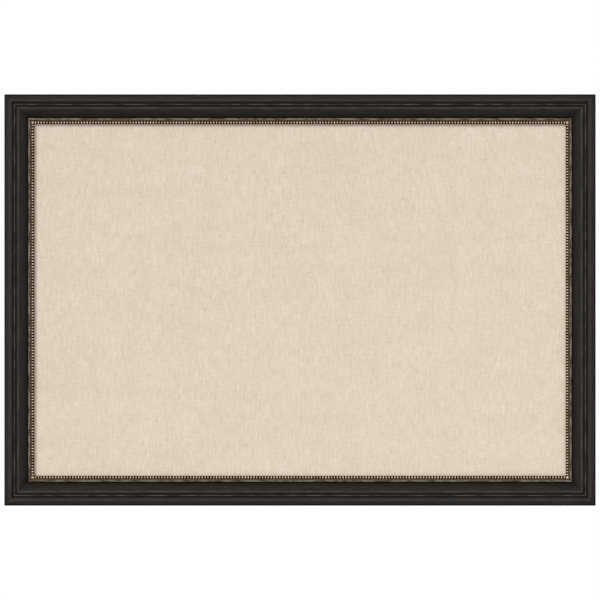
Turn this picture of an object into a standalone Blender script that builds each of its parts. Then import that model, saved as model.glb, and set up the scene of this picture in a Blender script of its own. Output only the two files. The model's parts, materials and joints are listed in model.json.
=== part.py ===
"""A framed linen bulletin board, piece by piece, in metres with +Z up and the front towards -Y.

Four mitred mouldings carry a beaded strip at the sight edge and hold a panel of linen, cork and hardboard.
V nails close the mitres, flexible points hold the panel in its rabbet, and two D rings hang the board.
The origin is the centre of the frame's outline, on the plane of the frame's back.

A moulding's section is written as (u, v): u runs inwards from the frame's outer edge and v forwards from
its back.
"""

import math

import bmesh
import bpy
from mathutils import Vector

MM = 0.001

# Clearances
SEAT_GAP = 0.3 * MM         # left between any two pieces that touch
MITRE_GAP = 0.3 * MM        # across the mitre joint, square to it
PANEL_PLAY = 0.65 * MM      # panel edge to rabbet wall
CUT_OVERRUN = 1.0 * MM      # how far a cutter stands out of the face that it opens
MERGE_DISTANCE = 0.003 * MM

# Panel, front to back
PANEL_WIDTH = 914.4 * MM
PANEL_HEIGHT = 609.6 * MM
LINEN_THICKNESS = 0.6 * MM
CORK_THICKNESS = 6.4 * MM
BACKER_THICKNESS = 3.2 * MM

# Moulding: widths across the section, from the outer edge to the bead channel
EDGE_ROUND = 1.5 * MM
SHOULDER_FLAT = 0.5 * MM
CROWN_OUTER_RUN = 8.0 * MM
CROWN_INNER_RUN = 4.6 * MM
CROWN_QUIRK_WIDTH = 0.7 * MM
ASTRAGAL_RADIUS = 1.5 * MM
NOSE_QUIRK_WIDTH = 1.8 * MM
NOSE_OUTER_RUN = 3.0 * MM
NOSE_INNER_RUN = 1.6 * MM
SLOPE_RUN = 13.2 * MM
FILLET_QUIRK_WIDTH = 1.6 * MM
FILLET_OUTER_RUN = 2.6 * MM
FILLET_INNER_RUN = 3.2 * MM
RABBET_LIP = 7.0 * MM

# Moulding: rises and drops, each from the part of the section that it stands on
LIP_THICKNESS = 2.4 * MM
FILLET_RISE = 2.6 * MM
FILLET_OUTER_DROP = 1.0 * MM
FILLET_INNER_DROP = 1.5 * MM
FILLET_QUIRK_DEPTH = 2.8 * MM
NOSE_RISE = 6.0 * MM
NOSE_OUTER_DROP = 1.6 * MM
NOSE_INNER_DROP = 0.45 * MM
SLOPE_FOOT_DROP = 1.4 * MM
SLOPE_BULGE = 0.35 * MM
QUIRK_DEPTH = 2.1 * MM
ASTRAGAL_STILT = 0.7 * MM
CROWN_RISE = 2.0 * MM
CROWN_INNER_DROP = 3.0 * MM
SHOULDER_DROP = 5.0 * MM
ARC_STEPS = 5

# Bead strip
BEAD_DIAMETER = 4.4 * MM
BEAD_SPACING = 0.48 * MM
BEAD_BASE = 0.8 * MM
BEAD_CROWN = (0.62, 0.86)   # half width and height of a bead's flat top, in bead radii
BEAD_NECK = (0.62, 0.18)    # the same between two beads

# Retaining points
POINT_THICKNESS = 0.6 * MM
POINT_RECESS = 3.0 * MM
POINT_WIDTH = 9.0 * MM
POINT_DRIVEN = 8.0 * MM
POINT_EXPOSED = 14.0 * MM
POINT_TIP = 4.5 * MM
POINT_CORNER = 2.0 * MM
POINT_SPACING = 230.0 * MM

# V nails
V_NAIL_LEG = 6.0 * MM
V_NAIL_THICKNESS = 0.6 * MM
V_NAIL_DEPTH = 10.0 * MM
V_NAIL_FROM_EDGE = 11.0 * MM
V_NAIL_FROM_RABBET = 9.0 * MM

# D ring hangers
HANGER_DROP = 150.0 * MM
WIRE_DIAMETER = 2.4 * MM
LOOP_PLAY = 0.35 * MM
RING_END_PLAY = 1.0 * MM
RING_CORNER = 2.5 * MM
RING_STRAIGHT = 2.5 * MM
RING_BOW_STEPS = 14
RING_CORNER_STEPS = 4
WIRE_BEVEL_RESOLUTION = 3
STRAP_WIDTH = 12.0 * MM
STRAP_SHEET = 0.9 * MM
STRAP_BEND = 2.0 * MM
STRAP_TAIL = 4.0 * MM
STRAP_CORNER = 4.0 * MM
STRAP_CORNER_STEPS = 4
LOOP_STEPS = 20
BEND_STEPS = 6

# Hanger screws
SCREW_DIAMETER = 3.5 * MM
SCREW_DRIVEN = 13.0 * MM
SCREW_TIP = 4.0 * MM
SCREW_HEAD_OVERHANG = 2.0 * MM
SCREW_HEAD_HEIGHT = 2.2 * MM
SCREW_HEAD_ROUND = 1.4 * MM
SCREW_PLAY = 0.3 * MM
SCREW_CLEAR_OF_RING = 0.6 * MM

# Wall bumpers
BUMPER_DIAMETER = 11.0 * MM
BUMPER_TAPER = 0.7 * MM
BUMPER_HEIGHT = 4.9 * MM
BUMPER_ROUND = 0.8 * MM
BUMPER_FROM_END = 62.0 * MM

TURNED_STEPS = 24
ROUND_STEPS = 4
SHARP_ANGLE = math.radians(35)

# Moulding sizes that follow from the ones above
RABBET_DEPTH = (
    POINT_RECESS + POINT_THICKNESS + BACKER_THICKNESS + CORK_THICKNESS + LINEN_THICKNESS + 4 * SEAT_GAP
)
BEAD_CHANNEL = BEAD_DIAMETER + SEAT_GAP
CROWN_AT = EDGE_ROUND + SHOULDER_FLAT + CROWN_OUTER_RUN
ASTRAGAL_AT = CROWN_AT + CROWN_INNER_RUN + CROWN_QUIRK_WIDTH + ASTRAGAL_RADIUS
NOSE_AT = ASTRAGAL_AT + ASTRAGAL_RADIUS + NOSE_QUIRK_WIDTH + NOSE_OUTER_RUN
FOOT_AT = NOSE_AT + NOSE_INNER_RUN + SLOPE_RUN
FILLET_AT = FOOT_AT + FILLET_QUIRK_WIDTH + FILLET_OUTER_RUN
CHANNEL_AT = FILLET_AT + FILLET_INNER_RUN
MOULDING_WIDTH = CHANNEL_AT + BEAD_CHANNEL
RABBET_WALL = MOULDING_WIDTH - RABBET_LIP
BACK_MIDDLE = RABBET_WALL / 2
MITRE_RELIEF = MITRE_GAP / math.sqrt(2)
OUTER_WIDTH = PANEL_WIDTH + 2 * (PANEL_PLAY + RABBET_WALL)
OUTER_HEIGHT = PANEL_HEIGHT + 2 * (PANEL_PLAY + RABBET_WALL)
BEAD_SEAT = RABBET_DEPTH + LIP_THICKNESS
BEAD_RADIUS = BEAD_DIAMETER / 2
BEAD_CENTRE = MOULDING_WIDTH - BEAD_RADIUS

# Hanger sizes that follow from the ones above
WIRE_RADIUS = WIRE_DIAMETER / 2
LOOP_RADIUS = WIRE_RADIUS + LOOP_PLAY
LOOP_OUTER = LOOP_RADIUS + STRAP_SHEET
RING_AXIS = SEAT_GAP + LOOP_OUTER
RING_HALF = STRAP_WIDTH / 2 + RING_END_PLAY + RING_CORNER
RING_SIDE = RING_CORNER + RING_STRAIGHT
RING_REACH = RING_SIDE + RING_HALF
RING_LEAN = math.asin((RING_AXIS - WIRE_RADIUS - SEAT_GAP) / RING_REACH)
SCREW_RADIUS = SCREW_DIAMETER / 2
SCREW_HOLE = SCREW_RADIUS + SCREW_PLAY
SCREW_HEAD = SCREW_RADIUS + SCREW_HEAD_OVERHANG
SCREW_BELOW_AXIS = RING_REACH + WIRE_RADIUS + SCREW_CLEAR_OF_RING + SCREW_HEAD
STRAP_BACK = 2 * (SEAT_GAP + STRAP_SHEET)
STRAP_LENGTH = SCREW_BELOW_AXIS + SCREW_HOLE + STRAP_TAIL
HANGER_HEIGHT = OUTER_HEIGHT / 2 - HANGER_DROP

# The four sides in turn: name, turn about Y, outer length, distance from the centre, name of the next side
SIDES = (
    ("top", 0, OUTER_WIDTH, OUTER_HEIGHT / 2, "right"),
    ("right", 90, OUTER_HEIGHT, OUTER_WIDTH / 2, "bottom"),
    ("bottom", 180, OUTER_WIDTH, OUTER_HEIGHT / 2, "left"),
    ("left", 270, OUTER_HEIGHT, OUTER_WIDTH / 2, "top"),
)

# Finishes: colour, roughness and metallic value
FINISHES = {
    "dark_bronze": ((0.038, 0.033, 0.028), 0.38, 0.0),
    "bead_bronze": ((0.16, 0.12, 0.08), 0.35, 0.4),
    "linen": ((0.74, 0.64, 0.52), 0.9, 0.0),
    "cork": ((0.45, 0.28, 0.14), 0.9, 0.0),
    "hardboard": ((0.26, 0.15, 0.08), 0.7, 0.0),
    "nickel": ((0.62, 0.60, 0.56), 0.3, 1.0),
    "spring_steel": ((0.30, 0.30, 0.31), 0.45, 1.0),
    "rubber": ((0.03, 0.03, 0.03), 0.8, 0.0),
}


def clear_scene():
    for old in list(bpy.data.objects):
        bpy.data.objects.remove(old, do_unlink=True)


def make_finish(name):
    """A material of one of the finishes, made once."""
    if name in bpy.data.materials:
        return bpy.data.materials[name]
    colour, roughness, metallic = FINISHES[name]
    material = bpy.data.materials.new(name)
    material.use_nodes = True
    shader = material.node_tree.nodes["Principled BSDF"]
    shader.inputs["Base Color"].default_value = (*colour, 1.0)
    shader.inputs["Roughness"].default_value = roughness
    shader.inputs["Metallic"].default_value = metallic
    return material


def add_object(name, data, parent=None, location=(0, 0, 0), rotation=(0, 0, 0)):
    added = bpy.data.objects.new(name, data)
    bpy.context.scene.collection.objects.link(added)
    added.parent = parent
    added.location = location
    added.rotation_euler = rotation
    return added


def add_piece(name, data, finish, parent, **placing):
    data.materials.append(make_finish(finish))
    return add_object(name, data, parent, **placing)


def finish_mesh(name, shape):
    """A mesh of the bmesh shape, with its faces outwards, smooth except along its sharp edges."""
    bmesh.ops.recalc_face_normals(shape, faces=shape.faces[:])
    mesh = bpy.data.meshes.new(name)
    shape.to_mesh(mesh)
    shape.free()
    mesh.shade_smooth()
    mesh.set_sharp_from_angle(angle=SHARP_ANGLE)
    return mesh


def extrude(shape, outline, travel):
    """Adds the prism that the outline, a closed row of points, sweeps along travel."""
    face = shape.faces.new([shape.verts.new(point) for point in outline])
    swept = bmesh.ops.extrude_face_region(shape, geom=[face])["geom"]
    far = [item for item in swept if isinstance(item, bmesh.types.BMVert)]
    bmesh.ops.translate(shape, verts=far, vec=travel)


def add_block(shape, low, high):
    """Adds the box between two opposite corners."""
    corners = ((low[0], low[2]), (high[0], low[2]), (high[0], high[2]), (low[0], high[2]))
    extrude(shape, [(x, low[1], z) for x, z in corners], (0, high[1] - low[1], 0))


def add_turned(shape, profile, centre):
    """Adds the solid that a profile of (radius, height) points sweeps about +Y through centre."""
    points = [shape.verts.new(Vector(centre) + Vector((radius, height, 0))) for radius, height in profile]
    edges = [shape.edges.new(pair) for pair in zip(points, points[1:])]
    bmesh.ops.spin(
        shape, geom=points + edges, cent=centre, axis=(0, 1, 0), angle=2 * math.pi, steps=TURNED_STEPS
    )
    bmesh.ops.remove_doubles(shape, verts=shape.verts[:], dist=MERGE_DISTANCE)


def quarter_round(centre, radius, start):
    """Points of a quarter circle that turns clockwise from the angle start, in degrees."""
    angles = [math.radians(start - 90 * step / ROUND_STEPS) for step in range(ROUND_STEPS + 1)]
    return [(centre[0] + radius * math.cos(a), centre[1] + radius * math.sin(a)) for a in angles]


def roll(crest, run, drop):
    """Points of an arc that is level at its crest and falls by drop over run, which may be negative."""
    radius = (run ** 2 + drop ** 2) / (2 * drop)
    sweep = math.copysign(2 * math.atan2(drop, abs(run)), run)
    angles = [sweep * step / ARC_STEPS for step in range(ARC_STEPS + 1)]
    return [(crest[0] + radius * math.sin(a), crest[1] - radius * (1 - math.cos(a))) for a in angles]


def bulged(start, end, bulge):
    """Points of a shallow curve from start to end, raised by bulge at its middle."""
    chord = Vector(end) - Vector(start)
    lift = Vector((-chord.y, chord.x)).normalized() * bulge
    shares = [step / ARC_STEPS for step in range(ARC_STEPS + 1)]
    return [tuple(Vector(start) + chord * s + lift * (4 * s * (1 - s))) for s in shares]


def moulding_section():
    """The moulding's (u, v) outline: up the outer wall, over the front, and back through the rabbet."""
    fillet_top = BEAD_SEAT + FILLET_RISE
    fillet_floor = fillet_top - FILLET_QUIRK_DEPTH
    nose_top = fillet_top + NOSE_RISE
    quirk_floor = nose_top - QUIRK_DEPTH
    crown_top = nose_top + CROWN_RISE
    shoulder_top = crown_top - SHOULDER_DROP

    crown, nose, fillet = (CROWN_AT, crown_top), (NOSE_AT, nose_top), (FILLET_AT, fillet_top)
    astragal = (ASTRAGAL_AT, quirk_floor + ASTRAGAL_STILT)
    nose_inner = roll(nose, NOSE_INNER_RUN, NOSE_INNER_DROP)
    slope_foot = (FOOT_AT, fillet_top - SLOPE_FOOT_DROP)

    outline = [(0, 0)]
    outline += quarter_round((EDGE_ROUND, shoulder_top - EDGE_ROUND), EDGE_ROUND, 180)
    outline += roll(crown, -CROWN_OUTER_RUN, SHOULDER_DROP)[::-1]
    outline += roll(crown, CROWN_INNER_RUN, CROWN_INNER_DROP)[1:]
    outline += [(CROWN_AT + CROWN_INNER_RUN, quirk_floor), (ASTRAGAL_AT - ASTRAGAL_RADIUS, quirk_floor)]
    outline += quarter_round(astragal, ASTRAGAL_RADIUS, 180)
    outline += quarter_round(astragal, ASTRAGAL_RADIUS, 90)[1:]
    outline += [(ASTRAGAL_AT + ASTRAGAL_RADIUS, quirk_floor), (NOSE_AT - NOSE_OUTER_RUN, quirk_floor)]
    outline += roll(nose, -NOSE_OUTER_RUN, NOSE_OUTER_DROP)[::-1]
    outline += nose_inner[1:-1]
    outline += bulged(nose_inner[-1], slope_foot, SLOPE_BULGE)
    outline += [(FOOT_AT, fillet_floor), (FILLET_AT - FILLET_OUTER_RUN, fillet_floor)]
    outline += roll(fillet, -FILLET_OUTER_RUN, FILLET_OUTER_DROP)[::-1]
    outline += roll(fillet, FILLET_INNER_RUN, FILLET_INNER_DROP)[1:]
    outline += [(CHANNEL_AT, BEAD_SEAT), (MOULDING_WIDTH, BEAD_SEAT)]
    outline += [(MOULDING_WIDTH, RABBET_DEPTH), (RABBET_WALL, RABBET_DEPTH), (RABBET_WALL, 0)]
    return outline


def mitre_end(length, u):
    """Half the length that a rail or strip keeps at u, between its two mitres."""
    return length / 2 - u - MITRE_RELIEF


def rail_mesh(name, length):
    """The moulding's section swept along the side, each end cut back by its u to make the mitre."""
    shape = bmesh.new()
    outline = [(-length / 2, -v, -u) for u, v in moulding_section()]
    extrude(shape, outline, (length, 0, 0))
    for point in shape.verts:
        point.co.x = math.copysign(mitre_end(length, -point.co.z), point.co.x)
    return finish_mesh(name, shape)


def bead_places(length):
    """Centres of the beads along a side. Across each mitre the beads keep the spacing of the row."""
    pitch = BEAD_DIAMETER + BEAD_SPACING
    row = length - 2 * BEAD_CENTRE - math.sqrt(2) * pitch
    count = round(row / pitch)
    return [row * (step / count - 0.5) for step in range(count + 1)]


def bead_section(top):
    """Outline of the strip across a bead or a neck, from its flat top's half width and height in radii."""
    bottom = BEAD_SEAT + SEAT_GAP
    height = bottom + BEAD_BASE + top[1] * BEAD_RADIUS
    half = top[0] * BEAD_RADIUS
    return [(BEAD_CENTRE - BEAD_RADIUS, bottom), (BEAD_CENTRE - half, height), (BEAD_CENTRE + half, height),
            (BEAD_CENTRE + BEAD_RADIUS, bottom)]


def bead_strip_mesh(name, length):
    """A strip of beads: sections lofted through every bead's crown and the neck between each two beads."""
    centres = bead_places(length)
    necks = [(a + b) / 2 for a, b in zip(centres, centres[1:])]
    crown, neck = bead_section(BEAD_CROWN), bead_section(BEAD_NECK)
    rows = [[(-mitre_end(length, u), -v, -u) for u, v in neck]]
    for place, section in sorted([(c, crown) for c in centres] + [(n, neck) for n in necks]):
        rows.append([(place, -v, -u) for u, v in section])
    rows.append([(mitre_end(length, u), -v, -u) for u, v in neck])

    shape = bmesh.new()
    rings = [[shape.verts.new(point) for point in row] for row in rows]
    for ring, following in zip(rings, rings[1:]):
        for side in range(len(ring)):
            ahead = (side + 1) % len(ring)
            shape.faces.new((ring[side], ring[ahead], following[ahead], following[side]))
    shape.faces.new(rings[0])
    shape.faces.new(rings[-1])
    return finish_mesh(name, shape)


def v_nail_places():
    """How far in from the outer corner each V nail's corner lies: one near the edge, one by the rabbet."""
    return (V_NAIL_FROM_EDGE, RABBET_WALL - V_NAIL_FROM_RABBET - V_NAIL_LEG)


def v_nail_section(grow):
    """The V nail's two legs as (x, z) points from its corner, each face moved out by grow."""
    reach, back = V_NAIL_LEG + grow, V_NAIL_THICKNESS + grow
    return [(grow, grow), (-reach, grow), (-reach, -back), (-back, -back), (-back, -reach), (grow, -reach)]


def v_nail_mesh(name):
    shape = bmesh.new()
    extrude(shape, [(x, -SEAT_GAP, z) for x, z in v_nail_section(0)], (0, -V_NAIL_DEPTH, 0))
    return finish_mesh(name, shape)


def point_places(length):
    """Places of the retaining points along a side, evenly spaced between the rabbet's corners."""
    run = length - 2 * RABBET_WALL
    count = max(2, round(run / POINT_SPACING))
    return [run * ((step + 0.5) / count - 0.5) for step in range(count)]


def point_mesh(name):
    """A flat point: its tip is driven into the rabbet wall, and its blunt end lies over the backer."""
    half = POINT_WIDTH / 2
    outline = [(0, POINT_DRIVEN), (half, POINT_DRIVEN - POINT_TIP), (half, POINT_CORNER - POINT_EXPOSED),
               (half - POINT_CORNER, -POINT_EXPOSED), (POINT_CORNER - half, -POINT_EXPOSED),
               (-half, POINT_CORNER - POINT_EXPOSED), (-half, POINT_DRIVEN - POINT_TIP)]
    shape = bmesh.new()
    extrude(shape, [(x, 0, z) for x, z in outline], (0, -POINT_THICKNESS, 0))
    return finish_mesh(name, shape)


def add_screw_hole(shape, top, bottom, x, z):
    """Adds the cutter of a hole for the hanger screw between two levels of y."""
    add_turned(shape, [(0, top), (SCREW_HOLE, top), (SCREW_HOLE, bottom), (0, bottom)], (x, 0, z))


def rail_cutter_mesh(name, length, screw_at):
    """All that is cut from a rail: V nail slots at both mitres, point slots, and the hanger screw's hole."""
    shape = bmesh.new()
    slot_floor = -2 * SEAT_GAP - V_NAIL_DEPTH
    for end in (-1, 1):
        for at in v_nail_places():
            section = v_nail_section(SEAT_GAP)
            outline = [(end * (length / 2 - at + x), CUT_OVERRUN, z - at) for x, z in section]
            extrude(shape, outline, (0, slot_floor - CUT_OVERRUN, 0))
    half = POINT_WIDTH / 2 + SEAT_GAP
    for place in point_places(length):
        low = (place - half, -POINT_RECESS - POINT_THICKNESS - SEAT_GAP, -RABBET_WALL - CUT_OVERRUN)
        high = (place + half, -POINT_RECESS + SEAT_GAP, -RABBET_WALL + POINT_DRIVEN + SEAT_GAP)
        add_block(shape, low, high)
    if screw_at is not None:
        add_screw_hole(shape, CUT_OVERRUN, -SCREW_DRIVEN - SEAT_GAP, screw_at, -BACK_MIDDLE)
    return finish_mesh(name, shape)


def add_cut(piece, cutter):
    """Cuts the piece by the cutter, which stays in the file as a hidden wire guide."""
    cutter.hide_render = True
    cutter.display_type = "WIRE"
    cut = piece.modifiers.new("cut", "BOOLEAN")
    cut.operation = "DIFFERENCE"
    cut.object = cutter


def strap_section():
    """The folded strap's (z, y) outline about the ring's axis: flat leg, loop, bend, and upper leg."""
    middle = LOOP_RADIUS + STRAP_SHEET / 2
    upper = -middle + STRAP_SHEET + SEAT_GAP
    bend_y = upper + STRAP_BEND
    bend_z = -math.sqrt((middle + STRAP_BEND) ** 2 - bend_y ** 2)
    meet = math.atan2(bend_y, bend_z)

    inside, outside = [(-STRAP_LENGTH, -LOOP_RADIUS)], [(-STRAP_LENGTH, -LOOP_OUTER)]
    for step in range(LOOP_STEPS + 1):
        angle = -math.pi / 2 + (meet + math.pi / 2) * step / LOOP_STEPS
        for face, radius in ((inside, LOOP_RADIUS), (outside, LOOP_OUTER)):
            face.append((radius * math.cos(angle), radius * math.sin(angle)))
    for step in range(1, BEND_STEPS + 1):
        angle = meet - math.pi + (math.pi / 2 - meet) * step / BEND_STEPS
        for face, grow in ((inside, STRAP_SHEET / 2), (outside, -STRAP_SHEET / 2)):
            radius = STRAP_BEND + grow
            face.append((bend_z + radius * math.cos(angle), bend_y + radius * math.sin(angle)))
    inside.append((-STRAP_LENGTH, upper - STRAP_SHEET / 2))
    outside.append((-STRAP_LENGTH, upper + STRAP_SHEET / 2))
    return inside + outside[::-1]


def strap_mesh(name):
    """The strap's section swept across its width, with the corners of both legs' ends rounded."""
    shape = bmesh.new()
    outline = [(-STRAP_WIDTH / 2, y, z) for z, y in strap_section()]
    extrude(shape, outline, (STRAP_WIDTH, 0, 0))
    corner = min(STRAP_CORNER, STRAP_WIDTH / 2 - SEAT_GAP)
    corners = [edge for edge in shape.edges
               if all(point.co.z < corner - STRAP_LENGTH for point in edge.verts)
               and abs(edge.verts[0].co.x - edge.verts[1].co.x) < MERGE_DISTANCE]
    bmesh.ops.bevel(
        shape, geom=corners, offset=corner, segments=STRAP_CORNER_STEPS, profile=0.5, affect="EDGES"
    )
    return finish_mesh(name, shape)


def strap_cutter_mesh(name):
    shape = bmesh.new()
    add_screw_hole(shape, LOOP_OUTER + CUT_OVERRUN, -LOOP_OUTER - CUT_OVERRUN, 0, -SCREW_BELOW_AXIS)
    return finish_mesh(name, shape)


def ring_path():
    """The D ring's closed centre line as (x, z): a straight bar on the axis, two corners and a round bow."""
    turns = [math.pi / 2 * step / RING_CORNER_STEPS for step in range(RING_CORNER_STEPS + 1)]
    inset = RING_HALF - RING_CORNER
    corner = [(inset + RING_CORNER * math.sin(a), RING_CORNER * (1 - math.cos(a))) for a in turns]
    sweeps = [math.pi * step / RING_BOW_STEPS for step in range(RING_BOW_STEPS + 1)]
    bow = [(RING_HALF * math.cos(a), RING_SIDE + RING_HALF * math.sin(a)) for a in sweeps]
    return corner + bow + [(-x, z) for x, z in corner[::-1]]


def ring_curve(name):
    curve = bpy.data.curves.new(name, "CURVE")
    curve.dimensions = "3D"
    curve.bevel_depth = WIRE_RADIUS
    curve.bevel_resolution = WIRE_BEVEL_RESOLUTION
    spline = curve.splines.new("POLY")
    path = ring_path()
    spline.points.add(len(path) - 1)
    for point, (x, z) in zip(spline.points, path):
        point.co = (x, 0, z, 1)
    spline.use_cyclic_u = True
    return curve


def screw_mesh(name):
    """A pan-head screw, its head's seat at the origin and its shank along -Y."""
    shank = SCREW_DRIVEN + STRAP_BACK + SEAT_GAP
    edge = min(SCREW_HEAD_ROUND, SCREW_HEAD_HEIGHT - SEAT_GAP)
    profile = [(0, SCREW_HEAD_HEIGHT)]
    profile += quarter_round((SCREW_HEAD - edge, SCREW_HEAD_HEIGHT - edge), edge, 90)
    profile += [(SCREW_HEAD, 0), (SCREW_RADIUS, 0), (SCREW_RADIUS, SCREW_TIP - shank), (0, -shank)]
    shape = bmesh.new()
    add_turned(shape, profile, (0, 0, 0))
    return finish_mesh(name, shape)


def bumper_mesh(name):
    """A round rubber foot that tapers to a flat face with a rounded edge."""
    base = BUMPER_DIAMETER / 2
    edge_middle = (base - BUMPER_TAPER - BUMPER_ROUND, BUMPER_HEIGHT - BUMPER_ROUND)
    profile = [(0, BUMPER_HEIGHT)] + quarter_round(edge_middle, BUMPER_ROUND, 90) + [(base, 0), (0, 0)]
    shape = bmesh.new()
    add_turned(shape, profile, (0, 0, 0))
    return finish_mesh(name, shape)


def sheet_mesh(name, thickness):
    """A flat layer of the panel, its back on y = 0."""
    shape = bmesh.new()
    low = (-PANEL_WIDTH / 2, -thickness, -PANEL_HEIGHT / 2)
    add_block(shape, low, (PANEL_WIDTH / 2, 0, PANEL_HEIGHT / 2))
    return finish_mesh(name, shape)


def add_side(name, turn, length, distance, following, board):
    """One side of the frame, under an empty on its outer edge: rail, bead strip, points and V nails."""
    angle = math.radians(turn)
    place = (distance * math.sin(angle), 0, distance * math.cos(angle))
    side = add_object(f"{name}_side", None, board, place, (0, angle, 0))

    has_hanger = name in ("left", "right")
    screw_at = (SCREW_BELOW_AXIS - HANGER_HEIGHT) * math.sin(angle) if has_hanger else None
    rail = add_piece(f"{name}_rail", rail_mesh(f"{name}_rail", length), "dark_bronze", side)
    cuts = rail_cutter_mesh(f"{name}_rail_cuts", length, screw_at)
    add_cut(rail, add_object(f"{name}_rail_cutter", cuts, side))
    strip = f"{name}_bead_strip"
    add_piece(strip, bead_strip_mesh(strip, length), "bead_bronze", side)

    for number, at in enumerate(point_places(length), 1):
        point = f"{name}_retaining_point_{number}"
        add_piece(point, point_mesh(point), "spring_steel", side, location=(at, -POINT_RECESS, -RABBET_WALL))
    for label, at in zip(("outer", "inner"), v_nail_places()):
        nail = f"{name}_{following}_v_nail_{label}"
        add_piece(nail, v_nail_mesh(nail), "spring_steel", side, location=(length / 2 - at, 0, -at))


def add_panel(board):
    """The linen, the cork and the backer, stacked in the rabbet in front of the retaining points."""
    layers = (
        ("hardboard_backer", BACKER_THICKNESS, "hardboard"),
        ("cork_sheet", CORK_THICKNESS, "cork"),
        ("linen_cover", LINEN_THICKNESS, "linen"),
    )
    back = POINT_RECESS + POINT_THICKNESS
    for name, thickness, finish in layers:
        back += SEAT_GAP
        add_piece(name, sheet_mesh(name, thickness), finish, board, location=(0, -back, 0))
        back += thickness


def add_hanger(hand, x, board):
    """A strap hanger on the back of a side rail: strap, screw, and the D ring leaning up on the rail."""
    hanger = add_object(f"{hand}_hanger", None, board, (x, RING_AXIS, HANGER_HEIGHT))
    strap = add_piece(f"{hand}_hanger_strap", strap_mesh(f"{hand}_strap"), "nickel", hanger)
    add_cut(strap, add_object(f"{hand}_strap_cutter", strap_cutter_mesh(f"{hand}_strap_hole"), hanger))
    add_piece(f"{hand}_d_ring", ring_curve(f"{hand}_ring"), "nickel", hanger, rotation=(RING_LEAN, 0, 0))
    screw_seat = (0, STRAP_BACK + SEAT_GAP - RING_AXIS, -SCREW_BELOW_AXIS)
    add_piece(f"{hand}_hanger_screw", screw_mesh(f"{hand}_screw"), "nickel", hanger, location=screw_seat)


def add_bumper(hand, x, board):
    """A bumper on the back of the bottom rail, which keeps the board parallel to the wall."""
    place = (x, SEAT_GAP, BACK_MIDDLE - OUTER_HEIGHT / 2)
    add_piece(f"{hand}_wall_bumper", bumper_mesh(f"{hand}_bumper"), "rubber", board, location=place)


def main():
    clear_scene()
    board = add_object("board", None)
    for side in SIDES:
        add_side(*side, board)
    add_panel(board)
    for hand, way in (("left", -1), ("right", 1)):
        add_hanger(hand, way * (OUTER_WIDTH / 2 - BACK_MIDDLE), board)
        add_bumper(hand, way * (OUTER_WIDTH / 2 - BUMPER_FROM_END), board)


main()
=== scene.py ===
"""Dresses the framed linen bulletin board: mouldings, beads, cloth, hardware, finishes, light and camera.

Everything is in metres, +Z up, with the board's front towards -Y and the frame's back on y = 0. A
moulding's section is written as (u, v): u runs inwards from the frame's outer edge and v forwards from its
back. A side of the frame is worked out lying along X at the top, and then turned about Y to its place.
"""

import json

import bpy
import numpy as np
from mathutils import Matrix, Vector


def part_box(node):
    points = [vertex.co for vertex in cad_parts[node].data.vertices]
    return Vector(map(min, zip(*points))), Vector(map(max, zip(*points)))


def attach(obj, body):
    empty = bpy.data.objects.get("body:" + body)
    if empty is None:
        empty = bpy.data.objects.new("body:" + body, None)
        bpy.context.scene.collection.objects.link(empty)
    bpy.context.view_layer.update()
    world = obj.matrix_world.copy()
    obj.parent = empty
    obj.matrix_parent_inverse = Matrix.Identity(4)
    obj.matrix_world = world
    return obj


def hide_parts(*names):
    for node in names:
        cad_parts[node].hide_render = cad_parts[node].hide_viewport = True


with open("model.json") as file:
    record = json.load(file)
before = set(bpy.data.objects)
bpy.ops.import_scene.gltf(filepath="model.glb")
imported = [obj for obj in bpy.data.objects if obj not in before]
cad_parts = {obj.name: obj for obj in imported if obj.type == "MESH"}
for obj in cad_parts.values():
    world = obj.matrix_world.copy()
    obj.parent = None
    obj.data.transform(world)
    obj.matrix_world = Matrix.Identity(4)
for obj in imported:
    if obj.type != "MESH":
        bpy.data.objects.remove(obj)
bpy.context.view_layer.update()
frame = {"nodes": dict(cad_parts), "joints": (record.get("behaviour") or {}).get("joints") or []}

MM = 0.001
SIDES = ("top", "right", "bottom", "left")
HANDS = ("left", "right")

# The photograph's framing: metres across its 600 pixels, and the lens that flattens the view as it does
FRAMED_WIDTH = 1.0165
LENS = 300.0
SENSOR = 36.0
OUTLINE_DEPTH = 21.5 * MM       # how far before the back the frame's outline is seen

# Light: a lamp has a direction, a strength and the degrees of sky that it fills
AMBIENT = 0.59
KEY_LAMP = ((-2.3, -2.3, 2.3), 2.1, 24)
BACK_LAMP = ((1.9, 2.6, 2.2), 1.8, 34)
WHITE = (1, 1, 1, 1)

# Floor
FLOOR_LEVEL = -0.64
FLOOR_REACH = 1.5
FLOOR_FADE = 0.85               # how far out it starts to turn white
FLOOR_POINTS = 13
FLOOR_GREY = (0.62, 0.62, 0.62, 1)

# Moulding: places across the section and levels above the back
EDGE_ROUND = 1.5 * MM
SHOULDER = (2.0 * MM, 23.0 * MM)
CROWN = (10.3 * MM, 28.0 * MM)
CROWN_FOOT = (15.0 * MM, 25.0 * MM)
QUIRK_FLOOR = 23.9 * MM
ASTRAGAL = (17.2 * MM, 24.6 * MM)
ASTRAGAL_RADIUS = 1.5 * MM
NOSE_START = (20.5 * MM, 24.4 * MM)
NOSE = (23.5 * MM, 26.0 * MM)
NOSE_END = (25.1 * MM, 25.55 * MM)
SLOPE_FOOT = (38.3 * MM, 18.6 * MM)
SLOPE_BULGE = 0.35 * MM
GROOVE_FLOOR = 17.2 * MM
FILLET_START = (39.9 * MM, 19.0 * MM)
FILLET = (42.4 * MM, 20.0 * MM)
FILLET_END = (45.2 * MM, 18.7 * MM)
BEAD_SEAT = 17.4 * MM
MOULDING_WIDTH = 50.4 * MM
RABBET_WALL = 43.0 * MM
RABBET_DEPTH = 15.0 * MM
SECTION_STEP = 0.25 * MM        # between the points of a softened section
ARRIS = 0.16 * MM               # how far its corners are softened
ARC_STEPS = 17
RAIL_STATIONS = 25
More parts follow.
